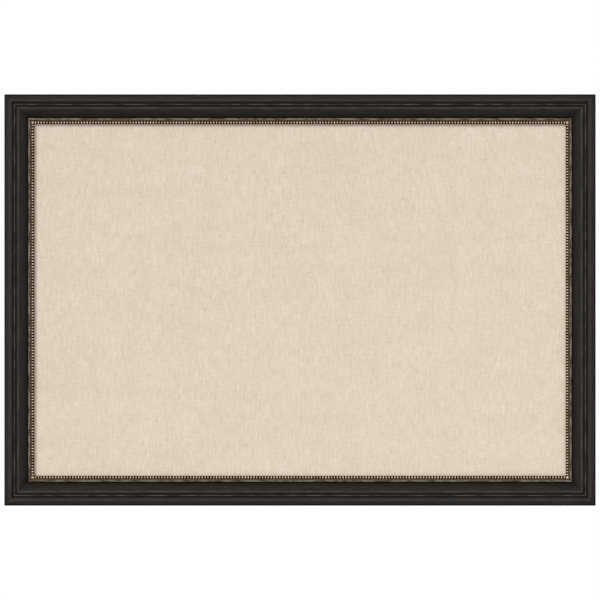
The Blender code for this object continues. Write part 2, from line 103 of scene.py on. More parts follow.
SEAM_DEPTH = 0.14 * MM          # the fine groove where two rails meet
SEAM_WIDTH = 0.22 * MM
SEAM_SHADE = 0.8                # painted shade in the seam, as deep as in a quirk
CAD_MITRE_RELIEF = 0.3 * MM / np.sqrt(2)    # how far a packed rail's tips stop short of the mitre

# Crests that are rubbed, and quirks that stay dull and are darkened by painted shade: place across the
# section, width and strength
CRESTS = (
    (CROWN[0] - 0.4 * MM, 3.2 * MM, 0.33),
    (ASTRAGAL[0], 1.1 * MM, 1.0),
    (NOSE[0], 1.8 * MM, 0.54),
    (29.0 * MM, 4.0 * MM, 0.07),
    (FILLET[0] - 0.9 * MM, 2.0 * MM, 1.0),
)
QUIRKS = (
    (CROWN_FOOT[0] - 0.6 * MM, 1.9 * MM, 0.5),
    (19.6 * MM, 0.9 * MM, 0.7),
    (36.4 * MM, 2.6 * MM, 0.45),
    (39.3 * MM, 1.15 * MM, 1.0),
)
FRONT_LEVEL = RABBET_DEPTH + 1.0 * MM       # all of the front lies above it

# Where one finish of a rail gives way to the next, and the order of its finishes
BACK_BAND = 0.4 * MM
RABBET_BAND = 0.3 * MM
EDGE_BAND = 1.9 * MM
WALL_BAND = 1.1 * MM
LEAF_START = SLOPE_FOOT[0] + 0.2 * MM
LACQUERED, WALL, LEAFED, BARE, EDGE = range(5)

# A swept piece's places on the map that its finish is baked to, as shares of the map
MAP_INSET = 0.01
MAP_SKIN = 0.87                 # up to where the unrolled skin reaches
MAP_CUT = (0.4, 0.08)           # the size of a mitre cut
MAP_CUT_PLACES = ((0.05, 0.9), (0.55, 0.9))

# Bead strip
BEAD_RADIUS = 2.55 * MM         # across the row
BEAD_HALF_LENGTH = 2.3 * MM
BEAD_PITCH = 4.88 * MM
BEAD_CENTRE = 47.75 * MM
BEAD_BASE = 18.3 * MM
BEAD_HEIGHT = 2.3 * MM
BEAD_SUNK = 0.25 * MM
BEAD_SIDES = 12
BEAD_RINGS = 4
STRIP_EDGE = BEAD_CENTRE - BEAD_RADIUS
STRIP_FOOT = BEAD_SEAT + 0.1 * MM
STRIP_RUB = 0.4                 # how far the strip is rubbed at its outer edge
STRIP_RUB_FADE = (0.2 * MM, 0.9 * MM)       # in from that edge
STRIP_SHARE = 0.1               # of the baked map, for the strip under the beads
CELL_COLUMNS = 16               # of the beads on that map
CELL_FILL = 0.45                # of a cell, for half a bead
CELL_RIM = 0.03                 # of a cell, for a bead's hidden rim

# Where a bead's painted highlight on its rubbed crown comes and goes, as shares of its height, its half
# length and its radius; beyond it lies painted shade over a dark glaze
BEAD_HIGHLIGHT_LIFT = (0.0, 0.3)           # comes with the height
BEAD_HIGHLIGHT_BESIDE = (0.18, 0.62)       # goes towards the next bead
BEAD_HIGHLIGHT_ACROSS = (0.35, 0.95)       # goes towards the inner and outer ends
BEAD_HIGHLIGHT_LOST_ACROSS = 0.75          # how much of it those ends lose
CORNER_HIGHLIGHT_LIFT = (0.2, 0.6)    # comes with the height, on the bead of a mitre

# Cloth and hardboard
CLOTH_STEP = 4.0 * MM
CLOTH_WAVER = 0.05 * MM
CLOTH_WAVES = ((37, 5, 0.0), (-11, 61, 1.3), (23, 41, 2.1))     # radians to a metre of x and z, and a start
THREAD_PITCH = 0.62 * MM
THREAD_DRIFT = 9.0              # radians by which the weave wanders
SCREEN_PITCH = 1.5 * MM         # of the hardboard's pressed screen

# V nails
NAIL_LEG = 6.0 * MM
NAIL_SHEET = 0.6 * MM
NAIL_PROUD = 0.06 * MM

# D rings, about their axis
WIRE_RADIUS = 1.2 * MM
WIRE_SIDES = 18
RING_HALF = 9.5 * MM
RING_CORNER = 2.5 * MM
RING_SIDE = 5.0 * MM
RING_REACH = RING_SIDE + RING_HALF
RING_CLEAR = 0.3 * MM           # from the rail that the ring leans on
RING_BAR_STEPS = 12
RING_CORNER_STEPS = 10
RING_BOW_STEPS = 49

# Straps, about the ring's axis
STRAP_SHEET = 0.9 * MM
STRAP_HALF = 6.0 * MM
STRAP_CORNER = 4.0 * MM
STRAP_EDGE = 0.22 * MM
STRAP_LOOP = 2.0 * MM           # radius of the loop, at the middle of the sheet
STRAP_BEND = 2.0 * MM
STRAP_SIDES = 20
LEG_GAP = 0.3 * MM
TAIL_STEPS = 9
LOOP_STEPS = 41
BEND_STEPS = 11

# Screws
HEAD_DROP = 0.28 * MM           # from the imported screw's place down onto the strap
SCREW_HEAD = 3.75 * MM
SCREW_HEAD_HEIGHT = 2.2 * MM
SCREW_HEAD_ROUND = 1.4 * MM
SCREW_SHANK = (1.75 * MM, 1.75 * MM, 0.15 * MM)     # radii at the head, above the point and at its tip
SCREW_POINT = 4.0 * MM
SCREW_SIDES = 64
SCREW_FACE = np.linspace(0.04, 1, 22)       # rings of the flat of its head, as shares of its radius
RECESS_REACH = 2.0 * MM
RECESS_HALF_WIDTH = 0.5 * MM
RECESS_DEPTH = 1.3 * MM
RECESS_STEEPNESS = 3.0          # its walls fall within a third of an arm
RECESS_RISE = 3.2 * MM          # how far out its floor would come up to the face

# Bumpers
BUMPER_ROUND = 0.8 * MM
BUMPER_TAPER = 0.7 * MM
BUMPER_DISH = 0.25 * MM
BUMPER_SUNK = 0.2 * MM
BUMPER_SOLE = 0.2 * MM          # radius of the last ring of its hidden side
BUMPER_SIDES = 48
BUMPER_FACE = np.linspace(0.05, 1, 12)      # rings of its dished face, as shares of its radius

RIM_STEPS = 8
SHARP_ANGLE = np.radians(60)

# Colours as linear red, green and blue. A pair gives both ends of a range.
LACQUER = ((0.0, 0.0, 0.0), (0.0124, 0.0115, 0.0106))
RUBBED_BRONZE = ((0.078, 0.063, 0.052), (0.118, 0.097, 0.081))
# Painted shade in the quirks and seams of the lacquer
QUIRK_PAINTED_SHADE = (0.0110, 0.0056, 0.0028)
SIDE_BLACK = ((0.0028, 0.0025, 0.0022), (0.0085, 0.0076, 0.0067))
EDGE_BLACK = ((0.0012, 0.0011, 0.0010), (0.0045, 0.0040, 0.0036))
BRONZE_LEAF = ((0.200, 0.164, 0.130), (0.275, 0.231, 0.188))
WORN_LEAF = (0.078, 0.052, 0.032)
# Painted shade in the groove before the fillet
GROOVE_PAINTED_SHADE = (0.0025, 0.0012, 0.0006)
WOOD = ((0.52, 0.36, 0.20), (0.36, 0.22, 0.11))
WOOD_FIBRE = (0.22, 0.13, 0.06)
# Painted shade in the seam where two rails meet
WOOD_SEAM_SHADE = (0.07, 0.04, 0.02)
# A bead's crown with its painted highlight, in bright and dull patches; its flanks, painted shade over a
# dark glaze
BEAD_HIGHLIGHT = ((0.92, 0.735, 0.53), (1.0, 0.865, 0.70))
BEAD_DULL = ((0.39, 0.268, 0.163), (0.60, 0.455, 0.305))
BEAD_FLANK_SHADE = ((0.0040, 0.0016, 0.0004), (0.160, 0.082, 0.026))
LINEN = ((0.658, 0.543, 0.423), (0.856, 0.749, 0.632))
LINEN_FLECK = (0.95, 0.87, 0.78)
LINEN_SLUB = (0.48, 0.37, 0.26)
CORK = ((0.36, 0.20, 0.09), (0.58, 0.38, 0.20))
CORK_GAP = (0.14, 0.07, 0.03)
HARDBOARD = ((0.205, 0.117, 0.061), (0.248, 0.146, 0.080))
HARDBOARD_FIBRE = (0.12, 0.06, 0.03)
STEEL = ((0.20, 0.20, 0.21), (0.34, 0.34, 0.35))
NICKEL = ((0.54, 0.52, 0.48), (0.68, 0.66, 0.61))
RUBBER = ((0.014, 0.014, 0.014), (0.035, 0.034, 0.032))
NOISE_RANGE = (0.3, 0.7)        # within which nearly all of a soft noise lies


# Meshes from arrays

def grid_quads(rows, columns, ring_rows=False, ring_columns=False):
    """Corner numbers of the quads of a grid of points counted row by row, closed to a ring where asked."""
    row = np.arange(rows if ring_rows else rows - 1)
    column = np.arange(columns if ring_columns else columns - 1)
    row, column = np.meshgrid(row, column, indexing="ij")
    above, beside = (row + 1) % rows * columns, (column + 1) % columns
    row = row * columns
    return np.stack([row + column, row + beside, above + beside, above + column], axis=-1).reshape(-1, 4)


def capped_quads(rows, columns):
    """Faces of rings of points, one ring to a row: quads between rings, and a flat cap at either end."""
    caps = np.stack([np.arange(columns)[::-1], (rows - 1) * columns + np.arange(columns)])
    return [grid_quads(rows, columns, ring_columns=True), caps]


def make_object(name, points, faces, materials, face_material=0, floats=None, maps=None):
    """An object from an array of points and a list of face arrays, one array for each number of corners.

    floats holds one value per point for each named attribute, and maps one (u, v) pair per face corner for
    each named map, as a list of arrays in the order of the faces.
    """
    mesh = bpy.data.meshes.new(name)
    points = np.asarray(points, dtype=np.float32).reshape(-1, 3)
    corner_counts = np.concatenate([np.full(len(group), group.shape[1]) for group in faces])
    corners = np.concatenate([group.ravel() for group in faces]).astype(np.int32)
    starts = np.concatenate([[0], np.cumsum(corner_counts)[:-1]]).astype(np.int32)
    mesh.vertices.add(len(points))
    mesh.vertices.foreach_set("co", points.ravel())
    mesh.loops.add(len(corners))
    mesh.loops.foreach_set("vertex_index", corners)
    mesh.polygons.add(len(starts))
    mesh.polygons.foreach_set("loop_start", starts)
    mesh.polygons.foreach_set("material_index", np.full(len(starts), face_material, dtype=np.int32))
    mesh.update(calc_edges=True)
    mesh.validate()
    mesh.shade_smooth()
    mesh.set_sharp_from_angle(angle=SHARP_ANGLE)
    for title, values in (floats or {}).items():
        layer = mesh.attributes.new(title, "FLOAT", "POINT")
        layer.data.foreach_set("value", np.asarray(values, dtype=np.float32).ravel())
    for title, groups in (maps or {}).items():
        layer = mesh.uv_layers.new(name=title)
        pairs = np.concatenate([group.ravel() for group in groups])
        layer.uv.foreach_set("vector", pairs.astype(np.float32))
    for material in materials:
        mesh.materials.append(material)
    made = bpy.data.objects.new(name, mesh)
    bpy.context.scene.collection.objects.link(made)
    return made


def ring_map(along, around):
    """Map pairs for the corners of a swept ring's quads: the place along the sweep of each point, and the
    way round its section, whose last value is the full way round, where the ring closes."""
    along = np.concatenate([along, along[:, :1]], axis=1)
    pairs = np.stack([along, np.broadcast_to(around, along.shape)], axis=-1).reshape(-1, 2)
    return pairs[grid_quads(*along.shape)]


def bake_map(points, section, cuts, height):
    """Map pairs that give every face of a swept piece a place of its own, within the given height of the
    map: the skin unrolled below, and above it the two mitre cuts side by side, drawn as the section is."""
    along = 0.5 + (1 - 2 * MAP_INSET) * points[..., 0] / np.ptp(points[..., 0])
    around = np.linspace(MAP_INSET, MAP_SKIN, len(section) + 1) * height
    outline = (section - section.min(axis=0)) / np.ptp(section, axis=0)
    drawn = outline[cuts % len(section)] * MAP_CUT + np.array(MAP_CUT_PLACES)[:, None, :]
    return [ring_map(along, around), drawn * (1, height)]


def settle(piece, body, slot, *nodes):
    """Fixes a finished piece to its body and hides the imported solids that it stands for; the name of the
    finish that it is given is not used.
    """
    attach(piece, body)
    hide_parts(*nodes)
    return piece


def dress_node(node, material):
    """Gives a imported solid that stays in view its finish."""
    slots = frame["nodes"][node].data.materials
    slots.clear()
    slots.append(material)


# Curves and sections

def eased(value, low, high):
    """0 below low and 1 above high, with a smooth cubic rise between."""
    share = np.clip((value - low) / (high - low), 0, 1)
    return share * share * (3 - 2 * share)


def bells(place, table, power):
    """The sum of a bell curve for each place, width and strength of a table. The higher the power, the
    flatter is the top of a bell."""
    return sum(strength * np.exp(-((place - at) / width) ** power) for at, width, strength in table)


def about_y(points, quarter_turns):
    """Points turned about the Y axis by whole quarter turns, which carry the top side to the right side."""
    angle = quarter_turns * np.pi / 2
    cosine, sine = np.cos(angle), np.sin(angle)
    x, y, z = np.moveaxis(points, -1, 0)
    return np.stack([x * cosine + z * sine, y, z * cosine - x * sine], axis=-1)


def ring_heading(ring):
    """The way that a closed line heads at each point, from the point before it to the point after."""
    return np.roll(ring, -1, axis=0) - np.roll(ring, 1, axis=0)


def left_of(heading):
    """Unit steps to the left of each heading, which is the heading turned by a quarter."""
    return np.column_stack([-heading[:, 1], heading[:, 0]]) / np.hypot(*heading.T)[:, None]


def circle(angle):
    """Points of the unit circle at an array of angles."""
    return np.column_stack([np.cos(angle), np.sin(angle)])


def full_turn(sides):
    """So many even angles of a full turn."""
    return np.linspace(0, 2 * np.pi, sides, endpoint=False)


def arc(centre, radius, start, end):
    """Points of a circle from one angle to another, in degrees, anticlockwise from +u."""
    return radius * circle(np.radians(np.linspace(start, end, ARC_STEPS))) + centre


def roll(crest, foot):
    """The circle that is level at its crest and passes through its foot, from crest to foot."""
    run, drop = foot[0] - crest[0], crest[1] - foot[1]
    radius = (run ** 2 + drop ** 2) / (2 * drop)
    angle = np.linspace(0, np.copysign(2 * np.arctan2(drop, abs(run)), run), ARC_STEPS)
    return np.column_stack([crest[0] + radius * np.sin(angle), crest[1] - radius * (1 - np.cos(angle))])


def bulged(start, end, bulge):
    """A line from start to end, raised square to itself by a parabola that peaks at its middle."""
    share = np.linspace(0, 1, ARC_STEPS)[:, None]
    chord = np.subtract(end, start)
    lift = np.array([-chord[1], chord[0]]) / np.hypot(*chord) * bulge
    return np.asarray(start) + chord * share + lift * 4 * share * (1 - share)


def softened(outline, step, softness):
    """A closed outline with even spacing and rounded corners: points at equal steps along it, each
    coordinate then blurred round the ring by a Gaussian, as a product of Fourier terms."""
    closed = np.vstack([outline, outline[:1]])
    walked = np.concatenate([[0], np.cumsum(np.hypot(*np.diff(closed, axis=0).T))])
    count = int(round(walked[-1] / step))
    at = np.arange(count) * walked[-1] / count
    even = np.column_stack([np.interp(at, walked, closed[:, axis]) for axis in (0, 1)])
    waves = np.fft.fftfreq(count, walked[-1] / count)
    blur = np.exp(-2 * (np.pi * waves * softness) ** 2)[:, None]
    return np.fft.ifft(np.fft.fft(even, axis=0) * blur, axis=0).real


def moulding_section():
    """The moulding's outline: up the outer wall, over the front, and back through the rabbet."""
    return np.vstack([
        [(0, 0)],
        arc((EDGE_ROUND, SHOULDER[1] - EDGE_ROUND), EDGE_ROUND, 180, 90),
        roll(CROWN, SHOULDER)[::-1],
        roll(CROWN, CROWN_FOOT)[1:],
        [(CROWN_FOOT[0], QUIRK_FLOOR), (ASTRAGAL[0] - ASTRAGAL_RADIUS, QUIRK_FLOOR)],
        arc(ASTRAGAL, ASTRAGAL_RADIUS, 180, 0),
        [(ASTRAGAL[0] + ASTRAGAL_RADIUS, QUIRK_FLOOR), (NOSE_START[0], QUIRK_FLOOR)],
        roll(NOSE, NOSE_START)[::-1],
        roll(NOSE, NOSE_END)[1:-1],
        bulged(NOSE_END, SLOPE_FOOT, SLOPE_BULGE),
        [(SLOPE_FOOT[0], GROOVE_FLOOR), (FILLET_START[0], GROOVE_FLOOR)],
        roll(FILLET, FILLET_START)[::-1],
        roll(FILLET, FILLET_END)[1:],
        [(FILLET_END[0], BEAD_SEAT), (MOULDING_WIDTH, BEAD_SEAT), (MOULDING_WIDTH, RABBET_DEPTH)],
        [(RABBET_WALL, RABBET_DEPTH), (RABBET_WALL, 0)],
    ])


def swept_side(section, length):
    """A section carried along one side of the frame. At every station each point keeps its share of the
    length between the two mitres, which is the outer length less twice its u. Just before each mitre the
    section sinks square to itself, which leaves a fine groove between two rails. Points by (station,
    place in the section)."""
    sunk = section - SEAM_DEPTH * left_of(ring_heading(section))
    share = np.linspace(-1, 1, RAIL_STATIONS)[:, None]
    ends = length / 2 - sunk[:, 0]
    along = np.vstack([-ends, share * (length / 2 - section[:, 0] - SEAM_WIDTH), ends])
    across = np.stack([sunk, *[section] * RAIL_STATIONS, sunk])
    return np.stack([along, -across[..., 1], -across[..., 0]], axis=-1)


def side_of(number):
    """A side's outer length and its distance from the board's middle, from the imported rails."""
    low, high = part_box(f"{SIDES[number]}_rail")
    upright = number % 2 == 1
    length = high.z - low.z if upright else high.x - low.x
    distance = max(abs(low.x), abs(high.x)) if upright else max(abs(low.z), abs(high.z))
    return length + 2 * CAD_MITRE_RELIEF, distance


# Finishes

class Nodes:
    """The nodes round one shader of a material or world. Constants sit on the shader's own sockets."""

    def __init__(self, owner, shader, **constants):
        owner.use_nodes = True
        self.tree = owner.node_tree
        self.shader = self.tree.nodes[shader]
        for socket, value in constants.items():
            self.shader.inputs[socket.replace("_", " ")].default_value = value

    def put(self, kind, inputs, output=0, **settings):
        """Adds a node, gives its inputs values or links, and returns one of its outputs."""
        node = self.tree.nodes.new(kind)
        for setting, value in settings.items():
            setattr(node, setting, value)
        for socket, value in inputs.items():
            if isinstance(value, bpy.types.NodeSocket):
                self.tree.links.new(value, node.inputs[socket])
            else:
                node.inputs[socket].default_value = value
        return node.outputs[output]

    def drive(self, socket, value):
        """Links a value to one of the shader's sockets."""
        self.tree.links.new(value, self.shader.inputs[socket])

    def math(self, operation, first, second=0.0, third=0.0, clamp=False):
        """One step of arithmetic on up to three values."""
        inputs = {0: first, 1: second, 2: third}
        return self.put("ShaderNodeMath", inputs, operation=operation, use_clamp=clamp)

    def spread(self, value, low, high, to_low=0.0, to_high=1.0):
        """A value from low to high, brought evenly to another range and held within it."""
        inputs = {"Value": value, "From Min": low, "From Max": high, "To Min": to_low, "To Max": to_high}
        return self.put("ShaderNodeMapRange", inputs, clamp=True)

    def ray(self, kind):
        """1 for the rays of one kind, and 0 for all others."""
        return self.put("ShaderNodeLightPath", {}, f"Is {kind} Ray")


class Finish(Nodes):
    """A material round one Principled shader."""

    def __init__(self, name, **constants):
        self.material = bpy.data.materials.new(name)
        super().__init__(self.material, "Principled BSDF", **constants)

    def place(self):
        """The point's place in the board's own frame."""
        return self.put("ShaderNodeTexCoord", {}, "Object")

    def value_of(self, attribute):
        """The point's value of a named attribute."""
        return self.put("ShaderNodeAttribute", {}, "Fac", attribute_name=attribute)

    def noise(self, scale, detail=2.0, roughness=0.5, place=None):
        """Soft noise from 0 to 1 with so many features to the metre, in all or along x, y and z."""
        stretch = {"Vector": place or self.place(), "Scale": tuple(np.broadcast_to(scale, 3))}
        stretched = self.put("ShaderNodeMapping", stretch)
        inputs = {"Vector": stretched, "Scale": 1.0, "Detail": detail, "Roughness": roughness}
        return self.put("ShaderNodeTexNoise", inputs)

    def streaks(self, along, across, detail=2.0, roughness=0.5):
        """Noise with so many features to the metre along and across a swept piece."""
        grain = self.put("ShaderNodeUVMap", {}, uv_map="along_and_across")
        return self.noise((along, across, 1.0), detail, roughness, grain)

    def both_ways(self, across, along):
        """Noise with so many features to the metre across and along the warp, and the same for the weft."""
        return self.noise((across, 1.0, along)), self.noise((along, 1.0, across))

    def ripple(self, axis, pitch, drift=0.0):
        """The sine of the place along an axis, with half a wave to the pitch and a drift in radians."""
        place = self.put("ShaderNodeSeparateXYZ", {"Vector": self.place()}, axis)
        return self.math("SINE", self.math("MULTIPLY_ADD", place, np.pi / pitch, drift))

    def blend(self, share, first, second):
        """A value that goes from the first to the second as share goes from 0 to 1."""
        return self.put("ShaderNodeMix", {0: share, 2: first, 3: second})

    def between(self, share, first, second):
        """A colour that goes from the first to the second as share goes from 0 to 1."""
        inputs = {0: share}
        for socket, colour in ((6, first), (7, second)):
            inputs[socket] = colour if isinstance(colour, bpy.types.NodeSocket) else (*colour, 1.0)
        return self.put("ShaderNodeMix", inputs, 2, data_type="RGBA")

    def roughen(self, noise, low, high):
        """Lets the roughness go from low to high with a noise."""
        self.drive("Roughness", self.spread(noise, *NOISE_RANGE, low, high))

    def bump(self, height, distance, strength=1.0):
        """Shades the surface as if a height of 1 stood a distance proud of it."""
        inputs = {"Height": height, "Distance": distance, "Strength": strength}
        self.drive("Normal", self.put("ShaderNodeBump", inputs))


def dark_bronze_finish():
    """Near-black lacquer, rubbed to a warm bronze in patches along the crests, and rougher in the quirks,
    which are darkened by painted shade.
    """
    finish = Finish("dark_bronze_lacquer", Specular_IOR_Level=0.2)
    patches = finish.streaks(48.0, 300.0, detail=3.0)
    mottle = finish.streaks(26.0, 330.0, detail=3.0)
    strokes = finish.streaks(60.0, 2400.0)
    rub, painted_quirk_shade = finish.value_of("rub"), finish.value_of("painted_quirk_shade")
    kept = finish.math("MULTIPLY", rub, finish.spread(patches, 0.41, 0.63, 1.0, 0.0))
    worn = finish.math("MULTIPLY", rub, finish.math("SUBTRACT", 1.0, kept))
    lacquer = finish.between(finish.spread(mottle, 0.32, 0.68), *LACQUER)
    face = finish.between(worn, lacquer, finish.between(strokes, *RUBBED_BRONZE))
    finish.drive("Base Color", finish.between(painted_quirk_shade, face, QUIRK_PAINTED_SHADE))
    satin = finish.spread(strokes, *NOISE_RANGE, 0.42, 0.54)
    finish.drive("Roughness", finish.math("MULTIPLY_ADD", painted_quirk_shade, 0.4, satin, clamp=True))
    finish.bump(strokes, 0.04 * MM)
    return finish.material


def side_black_finish():
    """Satin black on the frame's outer walls, with faint strokes of the brush along them."""
    finish = Finish("side_black", Specular_IOR_Level=0.1)
    strokes = finish.streaks(30.0, 900.0, detail=3.0)
    finish.drive("Base Color", finish.between(strokes, *SIDE_BLACK))
    finish.roughen(strokes, 0.5, 0.7)
    finish.bump(strokes, 0.05 * MM)
    return finish.material


def edge_black_finish():
    """Dead matt black on the rounded outer edge, a little thinner where it has been handled."""
    finish = Finish("edge_black", Specular_IOR_Level=0.055, Roughness=0.8)
    worn = finish.streaks(35.0, 600.0, detail=3.0)
    finish.drive("Base Color", finish.between(finish.spread(worn, *NOISE_RANGE), *EDGE_BLACK))
    return finish.material


def aged_bronze_finish():
    """Bronze leaf on the fillet: bright on its crest, worn to brown in patches, and painted black in the
    groove as shade.
    """
    finish = Finish("aged_bronze_fillet", Specular_IOR_Level=0.06)
    patches = finish.streaks(70.0, 240.0, detail=3.0)
    strokes = finish.streaks(80.0, 2600.0)
    painted_quirk_shade = finish.value_of("painted_quirk_shade")
    kept = finish.math("MULTIPLY", finish.spread(patches, 0.38, 0.58), finish.value_of("rub"))
    face = finish.between(kept, WORN_LEAF, finish.between(strokes, *BRONZE_LEAF))
    finish.drive("Base Color", finish.between(painted_quirk_shade, face, GROOVE_PAINTED_SHADE))
    finish.drive("Metallic", finish.spread(painted_quirk_shade, 0.0, 0.6, 0.5, 0.0))
    finish.roughen(patches, 0.5, 0.38)
    finish.bump(strokes, 0.04 * MM)
    return finish.material


def raw_wood_finish():
    """Bare pale wood on the back and in the rabbet: fine fibres and slow growth bands along the length."""
    finish = Finish("raw_wood", Specular_IOR_Level=0.3)
    bands = finish.streaks(2.2, 130.0, detail=4.0, roughness=0.6)
    fibres = finish.streaks(45.0, 2600.0, detail=3.0)
    wood = finish.between(finish.spread(bands, *NOISE_RANGE), *WOOD)
    grained = finish.between(finish.spread(fibres, 0.35, 0.75, 0.0, 0.45), wood, WOOD_FIBRE)
    # painted shade darkens the seam at each mitre
    finish.drive("Base Color", finish.between(finish.value_of("painted_quirk_shade"), grained, WOOD_SEAM_SHADE))
    finish.roughen(fibres, 0.65, 0.85)
    finish.bump(fibres, 0.12 * MM)
    return finish.material


def bead_finish():
    """Bronze beads with a painted highlight on the rubbed crown and painted shade over a near-black glaze
    between them, some rubbed more than others.
    """
    finish = Finish("bead_bronze", Specular_IOR_Level=0.04)
    patches = finish.noise(60.0, detail=3.0)
    specks = finish.noise(900.0)
    dull, bright = finish.between(specks, *BEAD_DULL), finish.between(specks, *BEAD_HIGHLIGHT)
    metal = finish.between(finish.spread(patches, 0.34, 0.62), dull, bright)
    crown = finish.value_of("crown")
    flank = finish.between(finish.spread(crown, 0.0, 0.45), *BEAD_FLANK_SHADE)
    finish.drive("Base Color", finish.between(finish.spread(crown, 0.3, 1.0), flank, metal))
    finish.drive("Metallic", finish.spread(crown, 0.05, 0.6, 0.0, 0.5))
    finish.roughen(specks, 0.3, 0.46)
    finish.bump(specks, 0.03 * MM)
    return finish.material


def linen_finish():
    """Natural linen: a plain weave of threads that differ in tone along their length, with faint bars,
    slubs and pale flecks both ways. The warp lies on top where the ripples of both have the same sign."""
    finish = Finish("natural_linen", Specular_IOR_Level=0.12, Roughness=0.92)
    drift = finish.math("MULTIPLY", finish.noise(60.0), THREAD_DRIFT)
    warp, weft = finish.ripple("X", THREAD_PITCH, drift), finish.ripple("Z", THREAD_PITCH, drift)
    over = finish.spread(finish.math("MULTIPLY", warp, weft), -0.35, 0.35)
    height = finish.blend(over, finish.math("ABSOLUTE", weft), finish.math("ABSOLUTE", warp))

    warp_tone = finish.noise((260.0, 1.0, 52.0), detail=3.0, roughness=0.6)
    weft_tone = finish.noise((60.0, 1.0, 300.0), detail=3.0, roughness=0.6)
    warp_thread, weft_thread = finish.both_ways(1700.0, 130.0)
    thread = finish.blend(over, weft_thread, warp_thread)
    tone = finish.blend(0.25, finish.blend(0.4, warp_tone, weft_tone), thread)
    bars = finish.math("ADD", *finish.both_ways(30.0, 6.0))
    barred = finish.math("MULTIPLY_ADD", bars, 0.1, tone)
    clouds = finish.noise(50.0, detail=4.0, roughness=0.6)
    shade = finish.math("MULTIPLY_ADD", clouds, 0.12, barred)
    cloth = finish.between(finish.spread(shade, 0.46, 0.86), *LINEN)

    warp_slub, weft_slub = finish.both_ways(270.0, 95.0)
    warp_fleck, weft_fleck = finish.spread(warp_slub, 0.36, 0.26), finish.spread(weft_slub, 0.34, 0.24)
    fleck = finish.math("MULTIPLY", finish.math("MAXIMUM", warp_fleck, weft_fleck), 0.45)
    flecked = finish.between(fleck, cloth, LINEN_FLECK)
    warp_slub, weft_slub = finish.spread(warp_slub, 0.65, 0.75), finish.spread(weft_slub, 0.67, 0.77)
    slub = finish.math("MAXIMUM", warp_slub, weft_slub)
    finish.drive("Base Color", finish.between(finish.math("MULTIPLY", slub, 0.55), flecked, LINEN_SLUB))
    thick = finish.math("MULTIPLY_ADD", slub, 1.2, height)
    finish.bump(finish.math("MULTIPLY_ADD", tone, 0.6, thick), 0.12 * MM, 0.7)
    return finish.material


def cork_finish():
    """Pressed cork: angular granules in two browns with dark gaps."""
    finish = Finish("pressed_cork", Specular_IOR_Level=0.2, Roughness=0.9)
    granules = {"Vector": finish.place(), "Scale": 380.0}
    share = finish.put("ShaderNodeTexVoronoi", granules, "Color")
    gaps = finish.put("ShaderNodeTexVoronoi", granules, feature="DISTANCE_TO_EDGE")
    browns = finish.between(finish.put("ShaderNodeSeparateColor", {"Color": share}), *CORK)
    finish.drive("Base Color", finish.between(finish.spread(gaps, 0.0, 0.12), CORK_GAP, browns))
    finish.bump(gaps, 0.3 * MM)
    return finish.material


def hardboard_finish():
    """Pressed brown fibre with the faint square screen that the press leaves on the back of the sheet."""
    finish = Finish("hardboard", Specular_IOR_Level=0.3)
    fibres = finish.noise((700.0, 700.0, 1120.0), detail=4.0, roughness=0.65)
    clouds = finish.noise(18.0, detail=6.0, roughness=0.68)
    screen = finish.math("MULTIPLY", finish.ripple("X", SCREEN_PITCH), finish.ripple("Z", SCREEN_PITCH))
    dimples = finish.math("ABSOLUTE", screen)
    board = finish.between(finish.spread(clouds, *NOISE_RANGE), *HARDBOARD)
    furred = finish.spread(fibres, 0.35, 0.75, 0.0, 0.6)
    finish.drive("Base Color", finish.between(furred, board, HARDBOARD_FIBRE))
    finish.roughen(fibres, 0.62, 0.8)
    finish.bump(finish.math("MULTIPLY_ADD", fibres, 0.8, dimples), 0.15 * MM)
    return finish.material


def metal_finish(name, tones, roughness):
    """Plated or bare sheet metal: a slow clouding of its tone and fine scratches in its gloss."""
    finish = Finish(name, Metallic=1.0)
    clouds = finish.noise(220.0, detail=3.0)
    scratches = finish.noise((5200.0, 5200.0, 400.0))
    finish.drive("Base Color", finish.between(finish.spread(clouds, *NOISE_RANGE), *tones))
    finish.roughen(scratches, roughness - 0.07, roughness + 0.1)
    finish.bump(scratches, 0.01 * MM)
    return finish.material


def rubber_finish():
    """Black rubber with a bloom of dust and a fine moulded skin."""
    finish = Finish("black_rubber", Specular_IOR_Level=0.35)
    dust = finish.noise(260.0, detail=4.0)
    finish.drive("Base Color", finish.between(finish.spread(dust, 0.4, 0.75), *RUBBER))
    finish.roughen(dust, 0.55, 0.78)
    finish.bump(finish.noise(2600.0), 0.06 * MM)
    return finish.material


# Frame

def crest_wear(section):
    """How far the finish is rubbed at each point of the section, 0 to 1: a bell curve about each crest."""
    return bells(section[:, 0], CRESTS, 2)


def quirk_depth(section):
    """How deep in a quirk or groove of the front each point lies, 0 to 1, which sets its painted shade: a
    flat-topped bell about each.
    """
    u, v = section.T
    return np.clip(bells(u, QUIRKS, 4), 0, 1) * (v > FRONT_LEVEL)


def section_finish(section):
    """The number of the finish on each step of the section, from the place of the step's middle."""
    u, v = (section + np.roll(section, -1, axis=0)).T / 2
    bare = (v < BACK_BAND) | ((v < RABBET_DEPTH + RABBET_BAND) & (u > RABBET_WALL - RABBET_BAND))
    edge = (u < EDGE_BAND) & (v > SHOULDER[1] - EDGE_ROUND)
    return np.select([bare, edge, u < WALL_BAND, u > LEAF_START], [BARE, EDGE, WALL, LEAFED], LACQUERED)


